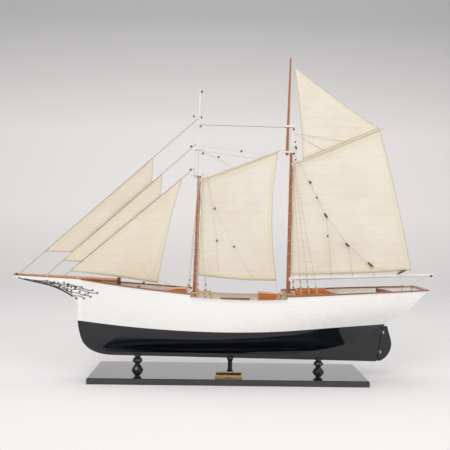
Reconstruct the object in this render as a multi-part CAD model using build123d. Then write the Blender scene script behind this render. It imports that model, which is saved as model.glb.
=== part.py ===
from build123d import *
import math
import os

os.makedirs("parts", exist_ok=True)

# Two-masted gaff schooner display model on a stand. Millimetres.
# +X towards the stern, -Y port, +Z up. Origin: middle of the base board's underside.

# ---------------------------------------------------------------- stand
BOARD_LENGTH = 510.0
BOARD_WIDTH = 130.0
BOARD_THICKNESS = 11.0
BOARD_BEVEL = 1.5
FORE_PEDESTAL_X = -172.0
AFT_PEDESTAL_X = 173.0
CENTER_POST_X = 4.0
SCREW_SHANK_R = 1.5
SCREW_HEAD_R = 3.6
SCREW_HEAD_H = 2.4
SCREW_KEEL_DEPTH = 5.0
PLATE_SIZE = (50.0, 1.0, 12.0)
PLATE_X = 0.0

# ---------------------------------------------------------------- hull
KEEL_HALF = 2.5
PLANK_INSET = 3.0
INNER_END_INSET = 9.0
INNER_STEM_HALF = 0.8
KEEL_FORE_Z = 39.0
KEEL_AFT_Z = 33.0
STERN_POST_FOOT = (284.0, 33.0)
STERN_POST_TOP = (294.0, 106.0)
WIDEST_AT = 0.46
HULL_LEVELS = (46.0, 52.0, 59.0, 67.0, 76.0, 86.0, 97.0, 109.0, 121.0, 133.0, 145.0, 157.0, 169.0, 181.0, 193.0)

# Waterlines of the planked body, one row each: height, stem end, stern end,
# greatest half-breadth, half-breadth at the stern end, fullness of the bow, fullness of the run.
WATERLINES = [
    (46.0, -219.0, 110.0, 4.5, 2.5, 1.7, 1.7),
    (52.0, -244.0, 165.0, 16.0, 2.5, 1.7, 1.7),
    (60.0, -262.0, 207.0, 27.5, 2.5, 1.75, 1.75),
    (70.0, -272.0, 234.0, 37.4, 2.5, 1.8, 1.8),
    (84.0, -277.0, 262.0, 46.0, 2.5, 1.9, 1.9),
    (98.0, -278.5, 288.0, 50.8, 2.8, 2.0, 2.0),
    (110.0, -279.0, 307.0, 53.0, 6.0, 2.1, 2.2),
    (122.0, -279.0, 322.0, 54.3, 13.0, 2.2, 2.5),
    (136.0, -279.0, 343.0, 55.3, 21.0, 2.3, 2.7),
    (160.0, -279.0, 382.0, 56.0, 27.0, 2.4, 2.9),
    (195.0, -279.0, 440.0, 56.3, 30.0, 2.5, 3.0),
]

# Sheer of the main rail and the paint line, as (x, z) points of a fair curve.
SHEER = [(-420.0, 197.0), (-285.0, 181.0), (-204.0, 173.0), (-107.0, 164.5), (-70.0, 161.5),
         (34.0, 157.5), (122.0, 160.5), (235.0, 166.5), (363.0, 172.5), (450.0, 177.0)]
PAINT_LINE = [(-420.0, 112.0), (-286.0, 103.4), (-143.0, 96.5), (-14.0, 93.4), (78.0, 94.4),
              (147.0, 98.0), (217.0, 102.0), (300.0, 105.0), (450.0, 109.0)]
CURVE_START = -415.0
CURVE_STEP = 43.0
CURVE_COUNT = 21
WAIST_FORE_X = -72.0
WAIST_AFT_X = 105.0
WAIST_DROP = 7.0
DECK_DROP = 11.0
DECK_THICKNESS = 2.0
RAIL_THICKNESS = 2.2
RAIL_OVERHANG = 1.2
RAIL_INNER_INSET = 4.2
TRANSOM_FOOT = (337.6, 135.5)
TRANSOM_TOP = (368.4, 173.4)
TRANSOM_THICKNESS = 3.0
BULKHEAD_XS = (-235.0, -190.0, -140.0, -95.0, -30.0, 30.0, 85.0, 145.0, 200.0, 250.0, 300.0)
BULKHEAD_THICKNESS = 3.0
SPINE_HALF = 1.5

# ---------------------------------------------------------------- spars
FORE_FOOT = Vector(-67.9, 0, 56)
FORE_HEAD = Vector(-59.1, 0, 437)
MAIN_FOOT = Vector(112.0, 0, 56)
MAIN_HEAD = Vector(115.3, 0, 483)
FORE_TRESTLE_Z = 383.0
MAIN_TRESTLE_Z = 430.0
MAST_R = 4.4
MAST_HEAD_R = 3.1
FORE_TOPMAST = (Vector(-67.8, 0, 377), Vector(-60.8, 0, 547))
MAIN_TOPMAST = (Vector(106.3, 0, 424), Vector(110.2, 0, 609))
TOPMAST_R = 3.0
TOPMAST_HEAD_R = 1.6
BOWSPRIT_HEEL = Vector(-206, 0, 180)
BOWSPRIT_TIP = Vector(-408, 0, 189.5)
BOWSPRIT_R = (3.8, 2.1)
FORE_GAFF = (Vector(-56.4, 0, 372.4), Vector(93, 0, 432.8))
MAIN_GAFF = (Vector(119.4, 0, 405.0), Vector(290, 0, 479.8))
MAIN_BOOM = (Vector(118.0, 0, 188.2), Vector(392, 0, 199.7))
GAFF_R = (2.6, 1.8)
BOOM_R = (3.4, 2.0)
JAW_CLEARANCE = 0.4
JAW_WALL = 2.4
JAW_CHEEK = 1.3
JAW_HEIGHT = 7.0
HOOP_WIRE_R = 0.5
HOOP_CLEARANCE = 0.35

# ---------------------------------------------------------------- sails and rigging
SAIL_HALF = 0.35
STAY_R = 0.45
SHROUD_R = 0.4
THIN_R = 0.3
FLYING_STAY = (Vector(-400, 0, 188.5), Vector(-64, 0, 491))
JIB_STAY = (Vector(-348, 0, 187), Vector(-61, 0, 448))
FORE_STAY = (Vector(-316, 0, 185), Vector(-61, 0, 404))
SHROUD_LOW_FORE = (-78.0, -61.0, -44.0)
SHROUD_LOW_MAIN = (130.0, 145.0, 160.0)
SHROUD_INSET = 1.2
SHROUD_TOP_HALF = 5.4
LOWER_DEADEYE_UP = 5.2
UPPER_DEADEYE_UP = 17.0
DEADEYE_R = 1.7
DEADEYE_THICKNESS = 1.6
EYEBOLT_R = 0.6
EYEBOLT_DEPTH = 4.0
RATLINE_STEP = 13.0
MAIN_HORSE_RADIUS = 229.0
MAIN_HORSE_Z = 176.0
FORE_HORSE_RADIUS = 159.0
FORE_HORSE_Z = 155.0
HORSE_HALF_ANGLE = 7.0
HORSE_R = 0.8
BLADE_TOP = 69.0  # along the rudder stock; clears the counter by 0.6 at 30 degrees of helm

# ---------------------------------------------------------------- deck furniture
# Fife rails: fore end, aft end, half width and height above the deck.
FORE_FIFE = (-75.0, -31.0, 13.0, 9.5)
MAIN_FIFE = (98.0, 125.5, 13.0, 9.5)
HOUSE_HEIGHT = 15.6
LID_SINK = 0.3
CLEAT_X = -167.0
WHEEL_X = 283.5
WHEEL_UP = 8.6


def along(a, b, t):
    return a + (b - a) * t


def rod(a, b, r1, r2=None):
    """A round bar from a to b; tapered when r2 is given."""
    place = Plane(origin=a, z_dir=b - a)
    length = (b - a).length
    if r2 is None or abs(r1 - r2) < 0.001:
        return Solid.make_cylinder(r1, length, place)
    return Solid.make_cone(r1, r2, length, place)


def block(x0, x1, y0, y1, z0, z1):
    return Pos((x0 + x1) / 2, (y0 + y1) / 2, (z0 + z1) / 2) * Box(x1 - x0, y1 - y0, z1 - z0)


def lathe(x, profile):
    """Turn a profile of (radius, z) points about the vertical line through x."""
    face = make_face(Plane.XZ * Polyline(*profile, close=True))
    return Pos(x, 0, 0) * revolve(face, Axis.Z)


def group(shapes):
    """Several separate solids kept as one node."""
    solids = []
    for shape in shapes:
        solids.extend(shape.solids())
    return Compound(children=solids)


def cut(shape, *tools):
    """Take tools away from every solid of shape and keep the biggest bit of each."""
    kept = []
    for solid in shape.solids():
        left = solid
        for tool in tools:
            left = left - tool
        kept.append(max(left.solids(), key=lambda s: s.volume))
    return group(kept)


def save(shape, name):
    export_step(shape, "parts/" + name + ".step")


# ---------------------------------------------------------------- hull surfaces
def curve_height(points, x):
    """Height of a smooth curve through points at x (Hermite with averaged slopes)."""
    for i in range(len(points) - 1):
        if points[i][0] <= x <= points[i + 1][0]:
            break
    x0, z0 = points[i]
    x1, z1 = points[i + 1]
    run = x1 - x0
    chord = (z1 - z0) / run
    before = chord
    after = chord
    if i > 0:
        before = (chord + (z0 - points[i - 1][1]) / (x0 - points[i - 1][0])) / 2
    if i + 2 < len(points):
        after = (chord + (points[i + 2][1] - z1) / (points[i + 2][0] - x1)) / 2
    t = (x - x0) / run
    rise = z0 * (1 - t) ** 2 * (1 + 2 * t) + z1 * t ** 2 * (3 - 2 * t)
    return rise + run * t * (1 - t) * (before * (1 - t) - after * t)


def curve_spline(points, lift):
    """The whole of a curve as one spline in the side view, raised by lift."""
    xs = [CURVE_START + CURVE_STEP * i for i in range(CURVE_COUNT)]
    return Spline(*[(x, curve_height(points, x) + lift) for x in xs])


def under_curve(points, lift, x0, x1):
    """Everything below a curve, raised by lift, between x0 and x1."""
    top = curve_spline(points, lift)
    sides = Polyline(top @ 1, ((top @ 1).X, 0), ((top @ 0).X, 0), top @ 0)
    face = make_face(Plane.XZ * (top + sides))
    return extrude(face, amount=90, both=True) & block(x0, x1, -95, 95, -5, 260)


def curve_band(points, low, high, x0, x1):
    """A band that follows a curve, from low to high above it, between x0 and x1."""
    top = curve_spline(points, high)
    base = curve_spline(points, low)
    face = make_face(Plane.XZ * (top + base + Line(top @ 1, base @ 1) + Line(base @ 0, top @ 0)))
    return extrude(face, amount=90, both=True) & block(x0, x1, -95, 95, -5, 260)


def waterline(row, inset):
    """One closed waterline of the hull, or of a body inset inside it."""
    z, stem_x, stern_x, widest, end_half, bow_power, run_power = row
    stem_half = KEEL_HALF
    if inset > 0:
        stem_x = stem_x + INNER_END_INSET
        stern_x = stern_x - INNER_END_INSET
        stem_half = INNER_STEM_HALF
        end_half = max(end_half - inset, INNER_STEM_HALF)
    if inset < 0:
        stem_x = stem_x + 2.5 * inset
        stern_x = stern_x - 2.5 * inset
        end_half = end_half - inset
    widest = widest - inset
    middle = stem_x + (stern_x - stem_x) * WIDEST_AT
    side = []
    shares = []
    for s in (0.0, 0.06, 0.14, 0.25, 0.4, 0.6, 0.8, 1.0):
        half = stem_half + (widest - stem_half) * (1 - (1 - s) ** bow_power)
        side.append((stem_x + (middle - stem_x) * s, half))
        shares.append(WIDEST_AT * s)
    for s in (0.2, 0.4, 0.58, 0.74, 0.88, 1.0):
        half = widest - (widest - end_half) * s ** run_power
        side.append((middle + (stern_x - middle) * s, half))
        shares.append(WIDEST_AT + (1 - WIDEST_AT) * s)
    starboard = Edge.make_spline([Vector(x, y, z) for x, y in side], parameters=shares)
    port = Edge.make_spline([Vector(x, -y, z) for x, y in reversed(side)],
                            parameters=[1 - share for share in reversed(shares)])
    stern = Line(starboard @ 1, port @ 0)
    stem = Line(port @ 1, starboard @ 0)
    return make_face([starboard, stern.edge(), port, stem.edge()])


def waterline_at(z):
    """The row of the waterline table at any height."""
    return [z] + [curve_height([(row[0], row[i]) for row in WATERLINES], z) for i in range(1, 7)]


def hull_body(inset, low_z):
    """The planked body between low_z and above the rail, grown or shrunk by inset."""
    levels = [z for z in HULL_LEVELS if z >= low_z]
    return loft([waterline(waterline_at(z), inset) for z in levels])


def ahead_of_transom(inset):
    """Everything forward of the raked transom plane, moved forward by inset."""
    lean = math.hypot(TRANSOM_TOP[0] - TRANSOM_FOOT[0], TRANSOM_TOP[1] - TRANSOM_FOOT[1])
    shift = inset * lean / (TRANSOM_TOP[1] - TRANSOM_FOOT[1])
    slope = (TRANSOM_TOP[0] - TRANSOM_FOOT[0]) / (TRANSOM_TOP[1] - TRANSOM_FOOT[1])
    low_x = TRANSOM_FOOT[0] - slope * TRANSOM_FOOT[1] - shift
    high_x = TRANSOM_FOOT[0] + slope * (260 - TRANSOM_FOOT[1]) - shift
    outline = Polyline((low_x + 100 * slope, 100), (high_x, 260), (-500, 260), (-500, 0),
                       (330, 0), (330, 100), close=True)
    return extrude(make_face(Plane.XZ * outline), amount=90, both=True)


def rail_height(x):
    return curve_height(SHEER, x)


def deck_height(x):
    return rail_height(x) - DECK_DROP


def rail_half(x):
    """Half-breadth of the hull near the rail."""
    stern_x = 395.0
    middle = -279.0 + (stern_x + 279.0) * WIDEST_AT
    if x < middle:
        s = (x + 279.0) / (middle + 279.0)
        return KEEL_HALF + (56.0 - KEEL_HALF) * (1 - (1 - s) ** 2.4)
    s = (x - middle) / (stern_x - middle)
    return 56.0 - (56.0 - 28.0) * s ** 2.9


# ---------------------------------------------------------------- spars and their fittings
def mast_axis(foot, head, z):
    return along(foot, head, (z - foot.Z) / (head.Z - foot.Z))


def mast_radius(foot, head, z):
    return MAST_R + (MAST_HEAD_R - MAST_R) * (z - foot.Z) / (head.Z - foot.Z)


def mast_ring(foot, head, z, inner, outer, height):
    """A plain ring about the mast axis at height z."""
    place = Plane(origin=mast_axis(foot, head, z), z_dir=head - foot)
    ring = Solid.make_cylinder(outer, height, place)
    return ring - Solid.make_cylinder(inner, height, place)


def hoops(foot, head, z0, z1, count):
    """Wooden hoops that slide on the mast and carry the luff of a sail."""
    rings = []
    for i in range(count):
        z = z0 + (z1 - z0) * i / (count - 1)
        place = Plane(origin=mast_axis(foot, head, z), z_dir=head - foot)
        radius = mast_radius(foot, head, z) + HOOP_CLEARANCE + HOOP_WIRE_R
        rings.append(Solid.make_torus(radius, HOOP_WIRE_R, place))
    return group(rings)


def spar_with_jaws(spar, radii, foot, head):
    """A gaff or boom, and the wooden jaw on its heel that turns about the mast."""
    start, end = spar
    inner = mast_radius(foot, head, start.Z) + JAW_CLEARANCE
    center = mast_axis(foot, head, start.Z)
    way = (end - center).normalized()
    reach = inner + JAW_WALL
    heel = Plane(origin=center + way * reach, x_dir=(0, 1, 0), z_dir=way)
    jaw = heel * Pos(0, 0, -reach / 2) * Box(2 * (inner + JAW_CHEEK), JAW_HEIGHT, reach)
    bore = Solid.make_cylinder(inner, 40, Plane(origin=mast_axis(foot, head, start.Z - 20),
                                                z_dir=head - foot))
    return group([rod(heel.origin, end, radii[0], radii[1]), jaw - bore])


def mast_caps(foot, head, trestle_z, cap_z, bodies):
    """Trestle-trees with cross-trees at the hounds and the cap at the lower masthead."""
    pieces = []
    for z, length, thickness in ((trestle_z, 26.0, 3.0), (cap_z, 20.0, 3.5)):
        axis_x = mast_axis(foot, head, z).X - 3.5
        pieces.append(Pos(axis_x, 0, z) * Box(length, 11, thickness))
    cross_x = mast_axis(foot, head, trestle_z).X
    for dx in (-9.5, 6.5):
        pieces.append(Pos(cross_x + dx, 0, trestle_z + 2.3) * Box(2.2, 40, 1.6))
    return cut(group(pieces), *bodies)


# ---------------------------------------------------------------- sails
def sail(corners, hollows, thickness=SAIL_HALF):
    """A flat sail. corners run round the edge; hollows gives each edge's bulge outwards."""
    corners = [Vector(*c) for c in corners]
    middle = sum(corners, Vector(0, 0, 0)) / len(corners)
    normal = (corners[1] - corners[0]).cross(corners[2] - corners[0]).normalized()
    edges = []
    for i, bulge in enumerate(hollows):
        a = corners[i]
        b = corners[(i + 1) % len(corners)]
        if abs(bulge) < 0.01:
            edges.append(Line(a, b))
            continue
        out = (b - a).cross(normal).normalized()
        if out.dot(along(a, b, 0.5) - middle) < 0:
            out = out * -1
        edges.append(ThreePointArc(a, along(a, b, 0.5) + out * bulge, b))
    return extrude(make_face(edges), amount=thickness, dir=normal, both=True)


# ---------------------------------------------------------------- stand pieces
def stand():
    low = block(-BOARD_LENGTH / 2, BOARD_LENGTH / 2, -BOARD_WIDTH / 2, BOARD_WIDTH / 2, 0, BOARD_THICKNESS)
    board = chamfer(low.edges().group_by(Axis.Z)[-1], BOARD_BEVEL)
    t = BOARD_THICKNESS
    screws = []
    posts = {}
    for name, x in (("fore_pedestal", FORE_PEDESTAL_X), ("aft_pedestal", AFT_PEDESTAL_X),
                    ("center_post", CENTER_POST_X)):
        keel_z = keel_bottom(x)
        top = keel_z + 3.5
        rise = top - t
        if name == "center_post":
            profile = [(0, t), (6.0, t), (6.0, t + 1.5), (4.4, t + 3), (4.4, top - 9), (6.2, top - 6),
                       (6.2, top - 1), (5.4, top), (0, top)]
        else:
            profile = [(0, t), (11.0, t), (11.0, t + 2), (8.0, t + 0.22 * rise), (5.0, t + 0.34 * rise),
                       (5.0, t + 0.42 * rise), (9.0, t + 0.52 * rise), (9.6, t + 0.6 * rise),
                       (8.4, t + 0.7 * rise), (5.2, t + 0.78 * rise), (5.2, t + 0.82 * rise),
                       (7.6, t + 0.9 * rise), (7.6, top), (0, top)]
        post = lathe(x, profile)
        post = post - (block(x - 20, x + 20, -KEEL_HALF, KEEL_HALF, 0, 80) & keel_profile_solid(80))
        hole = Pos(x, 0, 0) * Cylinder(SCREW_SHANK_R + 0.08, keel_z * 2 + 2)
        head_hole = Pos(x, 0, SCREW_HEAD_H / 2) * Cylinder(SCREW_HEAD_R + 0.2, SCREW_HEAD_H)
        board = board - hole - head_hole
        posts[name] = post - hole
        screw = Pos(x, 0, SCREW_HEAD_H / 2) * Cylinder(SCREW_HEAD_R, SCREW_HEAD_H)
        screw = screw + rod(Vector(x, 0, 0.6), Vector(x, 0, keel_z + SCREW_KEEL_DEPTH), SCREW_SHANK_R)
        slot = block(x - 3, x + 3, -0.4, 0.4, -1, 0.8)
        screws.append(screw - slot)
    return board, posts, group(screws)


def name_plate():
    """Blank plate standing near the front edge, with a pin at each end."""
    length, thickness, height = PLATE_SIZE
    y = -BOARD_WIDTH / 2 + 10
    z = BOARD_THICKNESS
    plate = block(PLATE_X - length / 2, PLATE_X + length / 2, y, y + thickness, z, z + height)
    plate = fillet(plate.edges().filter_by(Axis.Y), 1.0)
    foot = block(PLATE_X - length / 2 + 6, PLATE_X + length / 2 - 6, y + thickness, y + 6, z, z + 1)
    plate = plate + foot
    pins = []
    for x in (PLATE_X - 13, PLATE_X + 13):
        spot = Vector(x, y + 3.6, z - 2.5)
        pins.append(rod(spot, spot + Vector(0, 0, 3.5), 0.6) + rod(spot + Vector(0, 0, 3.5),
                                                                  spot + Vector(0, 0, 4.2), 1.2))
    pins = group(pins)
    return cut(plate, *pins.solids()), pins


# ---------------------------------------------------------------- keel and hull pieces
def keel_bottom(x):
    share = (x + 224.0) / (STERN_POST_FOOT[0] + 224.0)
    return KEEL_FORE_Z + (KEEL_AFT_Z - KEEL_FORE_Z) * share


def keel_profile_solid(top_z):
    """Backbone plate of full outline: stem, forefoot, keel and sternpost, up to top_z."""
    fore = Spline((-286.6, 150), (-286.4, 104), (-282.4, 81), (-274, 60.4), (-259, 47.6), (-243, 41.8),
                  (-224, KEEL_FORE_Z))
    keel = Line(fore @ 1, STERN_POST_FOOT)
    post = Polyline(STERN_POST_FOOT, STERN_POST_TOP, (296.0, 118), (200, 150), fore @ 0)
    face = make_face(Plane.XZ * (fore + keel + post))
    plate = extrude(face, amount=KEEL_HALF, both=True)
    return plate & block(-400, 400, -20, 20, 0, top_z)


def stem_knee(outer):
    """White stem above the paint line with the knee of the head under the bowsprit."""
    low = Spline((-286.5, 134), (-294.5, 146), (-313, 157), (-331, 165), (-352.5, 171), (-371.5, 175),
                 (-404, 183.4))
    back = Polyline(low @ 1, (-404, 187.0), (-270, 180.9), (-262, 150), (-262, 90), (-286.4, 90), low @ 0)
    face = make_face(Plane.XZ * (low + back))
    plate = extrude(face, amount=KEEL_HALF, both=True)
    return plate - under_curve(PAINT_LINE, 0, -400, -200) - outer - rod(BOWSPRIT_HEEL, BOWSPRIT_TIP, *BOWSPRIT_R)


def trailboards():
    """Scrolled boards on both sides of the knee, following its lower edge."""
    boards = []
    spine = [(-400, 182.6), (-371.5, 175.2), (-352.5, 171.2), (-331, 165.2), (-313, 157.2), (-296, 147.2)]
    leaves = ((-352, 175.4, 1.2), (-337, 172.0, 1.5), (-322, 167.2, 1.8), (-306, 168.2, 2.0),
              (-307, 160.6, 1.8), (-292, 164.4, 1.8))
    for side in (-1, 1):
        low = Spline(*[(x, z + 0.3) for x, z in spine])
        high = Spline(*[(x, z + 1.6 + (x + 400) * 0.018) for x, z in spine])
        face = make_face(Plane.XZ * (low + high + Line(low @ 0, high @ 0) + Line(low @ 1, high @ 1)))
        board = extrude(face, amount=0.4, both=True)
        boards.append(Pos(0, side * (KEEL_HALF + 0.4), 0) * board)
        for x, z, r in leaves:
            y0 = side * (KEEL_HALF + 0.8)
            boards[-1] = boards[-1] + rod(Vector(x, side * KEEL_HALF, z), Vector(x, y0, z), r)
    return group(boards)


def hull_pieces():
    outer_all = hull_body(0, HULL_LEVELS[0])
    inner = hull_body(PLANK_INSET, HULL_LEVELS[1]) & ahead_of_transom(TRANSOM_THICKNESS)
    under_rail = (under_curve(SHEER, 0, -415, WAIST_FORE_X)
                  + under_curve(SHEER, -WAIST_DROP, WAIST_FORE_X, WAIST_AFT_X)
                  + under_curve(SHEER, 0, WAIST_AFT_X, 445))
    outer = outer_all & ahead_of_transom(0)
    shell = (outer & under_rail) - inner
    under_paint = under_curve(PAINT_LINE, 0, -415, 445)
    stock_way = rudder_plane() * Cylinder(2.2, 300)
    topside = shell - under_paint - stock_way
    bottom = (shell & under_paint) - stock_way
    keel = keel_profile_solid(200) - outer_all
    keel = (keel & under_paint) - block(290, 320, -9, 9, 106, 150)
    for x in (FORE_PEDESTAL_X, AFT_PEDESTAL_X, CENTER_POST_X):
        tip = Vector(x, 0, keel_bottom(x) + SCREW_KEEL_DEPTH)
        keel = keel - rod(Vector(x, 0, 0), tip, SCREW_SHANK_R)
        bottom = bottom - rod(Vector(x, 0, 0), tip, SCREW_SHANK_R)
    masts = [Solid.make_cylinder(MAST_R + 0.4, 200, Plane(origin=FORE_FOOT, z_dir=FORE_HEAD - FORE_FOOT)),
             Solid.make_cylinder(MAST_R + 0.4, 200, Plane(origin=MAIN_FOOT, z_dir=MAIN_HEAD - MAIN_FOOT))]
    deck = inner & curve_band(SHEER, -DECK_DROP - DECK_THICKNESS, -DECK_DROP, -415, 445)
    hold = inner & under_curve(SHEER, -DECK_DROP - DECK_THICKNESS, -415, 445)
    spine = hold & block(-400, 400, -SPINE_HALF, SPINE_HALF, 0, 200)
    frames = [hold & block(x - BULKHEAD_THICKNESS / 2, x + BULKHEAD_THICKNESS / 2, -80, 80, 0, 200)
              for x in BULKHEAD_XS]
    stock_room = rudder_plane() * Cylinder(2.4, 300)
    pieces = {"topside_planking": topside, "bottom_planking": bottom, "keel": keel,
              "deck": deck - masts[0] - masts[1] - stock_room,
              "center_spine": spine - masts[0] - masts[1] - stock_room,
              "bulkheads": cut(group(frames), spine, stock_room),
              "stem_knee": stem_knee(outer_all)}
    ring = hull_body(-RAIL_OVERHANG, 120) & ahead_of_transom(-RAIL_OVERHANG)
    ring = ring - (hull_body(RAIL_INNER_INSET, 120) & ahead_of_transom(RAIL_INNER_INSET))
    for name, x0, x1, drop in (("fore_cap_rail", -310, WAIST_FORE_X, 0),
                               ("waist_cap_rail", WAIST_FORE_X, WAIST_AFT_X, WAIST_DROP),
                               ("aft_cap_rail", WAIST_AFT_X, 430, 0)):
        pieces[name] = ring & curve_band(SHEER, -drop, RAIL_THICKNESS - drop, x0, x1)
    bowsprit = rod(BOWSPRIT_HEEL, BOWSPRIT_TIP, *BOWSPRIT_R)
    pieces["fore_cap_rail"] = cut(pieces["fore_cap_rail"], bowsprit, pieces["stem_knee"])
    pieces["topside_planking"] = pieces["topside_planking"] - bowsprit
    return pieces


# ---------------------------------------------------------------- rudder
def rudder_plane():
    foot = Vector(STERN_POST_FOOT[0] + 2.6, 0, STERN_POST_FOOT[1])
    top = Vector(STERN_POST_TOP[0] + 2.6, 0, STERN_POST_TOP[1])
    up = top - foot
    return Plane(origin=foot, x_dir=Vector(up.Z, 0, -up.X), z_dir=up)


def rudder_pieces():
    """Blade and stock with their pintles, and the gudgeons strapped to the sternpost."""
    blade_edge = Spline((3.0, 1.2), (13.0, 9.0), (19.5, 21.0), (21.0, 36.0), (15.5, 52.0), (8.6, BLADE_TOP))
    rest = Polyline(blade_edge @ 1, (0, BLADE_TOP), (0, 1.2), blade_edge @ 0)
    blade = extrude(make_face(Plane.XZ * (blade_edge + rest)), amount=1.7, both=True)
    stock = Pos(0, 0, 43.6) * Cylinder(1.8, 84.8)
    rudder = blade + stock
    gudgeons = []
    pintles = []
    for z in (18.0, 56.0):
        rudder = rudder - block(-3, 4.4, -5, 5, z - 2.5, z + 2.5)
        pin = Pos(0, 0, z) * Cylinder(0.9, 8.0)
        rudder = rudder - pin
        pintles.append(pin)
        strap = block(-16, 1.9, -3.2, 3.2, z - 1.8, z + 1.8)
        strap = strap - block(-20, -2.55, -KEEL_HALF, KEEL_HALF, z - 3, z + 3)
        gudgeons.append(strap - Pos(0, 0, z) * Cylinder(1.0, 12))
    place = rudder_plane()
    return place * rudder, group([place * p for p in pintles]), group([place * g for g in gudgeons])


# ---------------------------------------------------------------- deck furniture
def deck_box(x0, x1, half, height, top_over):
    """A closed deck structure standing on the deck, with an overhanging top."""
    low = block(x0, x1, -half, half, 120, deck_height((x0 + x1) / 2) + height)
    lid_z = deck_height((x0 + x1) / 2) + height
    lid = block(x0 - top_over, x1 + top_over, -half - top_over, half + top_over, lid_z, lid_z + 1.6)
    return (low - under_curve(SHEER, -DECK_DROP, -415, 445)) + lid


def deck_wedge(outline, half, lid, over):
    """A closed deck structure whose top follows outline, given as (x, height above the deck)."""
    top = [(x, deck_height(x) + height) for x, height in outline]
    low = Polyline(*top, (top[-1][0], 130), (top[0][0], 130), close=True)
    body = extrude(make_face(Plane.XZ * low), amount=half, both=True)
    eaves = [(top[0][0] - over, top[0][1])] + top[1:-1] + [(top[-1][0] + over, top[-1][1])]
    eaves = [(x, z - LID_SINK) for x, z in eaves]
    ridge = [(x, z + lid) for x, z in reversed(eaves)]
    roof = extrude(make_face(Plane.XZ * Polyline(*eaves, *ridge, close=True)), amount=half + over, both=True)
    return (body - under_curve(SHEER, -DECK_DROP, -415, 445)) + roof


def deckhouse():
    house = deck_box(128, 186, 20, HOUSE_HEIGHT, 1.2)
    roof_z = deck_height(157) + HOUSE_HEIGHT + 1.6
    for i in range(7):
        x = 133 + i * 8
        house = house + block(x, x + 3.0, -14, 14, roof_z - 0.5, roof_z + 1.4)
    house = house + block(130, 184, -1.2, 1.2, roof_z - 0.5, roof_z + 2.4)
    return house + deck_wedge([(186, 12.5), (212, 5.0)], 13, 1.2, 0)


def fife_rail(x0, x1, half, height):
    """Pin rail on four turned posts round the foot of a mast."""
    z = deck_height((x0 + x1) / 2) + height
    rail = block(x0, x1, -half, half, z, z + 2.2) - block(x0 + 3.2, x1 - 3.2, -half + 3.2, half - 3.2, z - 1, z + 4)
    for x in (x0 + 1.6, x1 - 1.6):
        for y in (-half + 1.6, half - 1.6):
            foot = Vector(x, y, deck_height(x) - 0.6)
            rail = rail + rod(foot, Vector(x, y, z + 0.5), 1.2)
            rail = rail + rod(foot, foot + Vector(0, 0, 2.2), 2.0)
    return rail


def belaying_pins(x0, x1, half, height):
    """Belaying pins standing through a fife rail's side bars."""
    z = deck_height((x0 + x1) / 2) + height
    pins = []
    count = 4
    for side in (-1, 1):
        for i in range(count):
            x = x0 + 6 + (x1 - x0 - 12) * i / (count - 1)
            y = side * (half - 1.6)
            pins.append(rod(Vector(x, y, z - 3), Vector(x, y, z + 3), 0.45)
                        + rod(Vector(x, y, z + 2.2), Vector(x, y, z + 5), 0.8, 0.6))
    return group(pins)


def rail_cleats():
    """A small two-horned cleat on each side of the fore rail."""
    cleats = []
    for side in (-1, 1):
        z = rail_height(CLEAT_X) + RAIL_THICKNESS
        y = side * (rail_half(CLEAT_X) - 1.2)
        post = block(CLEAT_X - 1.4, CLEAT_X + 1.4, y - 0.9, y + 0.9, z - 0.3, z + 1.8)
        cleats.append(post + block(CLEAT_X - 3.2, CLEAT_X + 3.2, y - 0.9, y + 0.9, z + 1.4, z + 2.8))
    return group(cleats)


def steering_wheel():
    """Eight-spoked wheel, axis up, on a short shaft that points down."""
    wheel = Cylinder(6.3, 1.3) - Cylinder(5.0, 2.0)
    wheel = wheel + Cylinder(1.8, 2.6) + Pos(0, 0, -2.9) * Cylinder(0.8, 3.4)
    for i in range(4):
        wheel = wheel + Rot(0, 0, 45 * i) * Box(15.6, 0.9, 0.9)
    return wheel


# ---------------------------------------------------------------- rigging
def shroud_lines(low_xs, foot, head, hounds_z):
    """Top and rail points of every shroud, both sides."""
    lines = []
    for side in (-1, 1):
        for x in low_xs:
            base = Vector(x, side * (rail_half(x) - SHROUD_INSET), rail_height(x))
            if WAIST_FORE_X < x < WAIST_AFT_X:
                base = base - Vector(0, 0, WAIST_DROP)
            top = mast_axis(foot, head, hounds_z) + Vector(0, side * SHROUD_TOP_HALF, 0)
            lines.append((side, base, top))
    return lines


def shroud_rigging(low_xs, foot, head, hounds_z, caps):
    """Shrouds, deadeyes, lanyards, eyebolts and ratlines of one mast."""
    shrouds, deadeyes, lanyards, bolts, ratlines = [], [], [], [], []
    lines = shroud_lines(low_xs, foot, head, hounds_z)
    for side, base, top in lines:
        up = (top - base).normalized()
        low = base + up * LOWER_DEADEYE_UP
        high = base + up * UPPER_DEADEYE_UP
        for spot in (low, high):
            thick = Vector(0, DEADEYE_THICKNESS / 2, 0)
            deadeyes.append(rod(spot - thick, spot + thick, DEADEYE_R))
        shrouds.append(rod(high, top, SHROUD_R))
        for dx in (-0.8, 0.8):
            lanyards.append(rod(low + Vector(dx, 0, 0), high + Vector(dx, 0, 0), THIN_R))
        bolts.append(rod(Vector(low.X, low.Y, base.Z - EYEBOLT_DEPTH), low, EYEBOLT_R))
    for side in (-1, 1):
        first = [line for line in lines if line[0] == side][0]
        last = [line for line in lines if line[0] == side][-1]
        z = first[1].Z + UPPER_DEADEYE_UP + 8
        while z < hounds_z - 30:
            ends = []
            for _, base, top in (first, last):
                t = (z - base.Z) / (top.Z - base.Z)
                ends.append(along(base, top, t) + Vector(0, side * (SHROUD_R + 0.45), 0))
            reach = (ends[1] - ends[0]).normalized() * 0.8
            ratlines.append(rod(ends[0] - reach, ends[1] + reach, 0.22))
            z = z + RATLINE_STEP
    return {"shrouds": cut(group(shrouds), caps, *deadeyes), "deadeyes": group(deadeyes),
            "lanyards": cut(group(lanyards), *deadeyes), "shroud_eyebolts": cut(group(bolts), *deadeyes),
            "ratlines": group(ratlines)}


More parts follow.
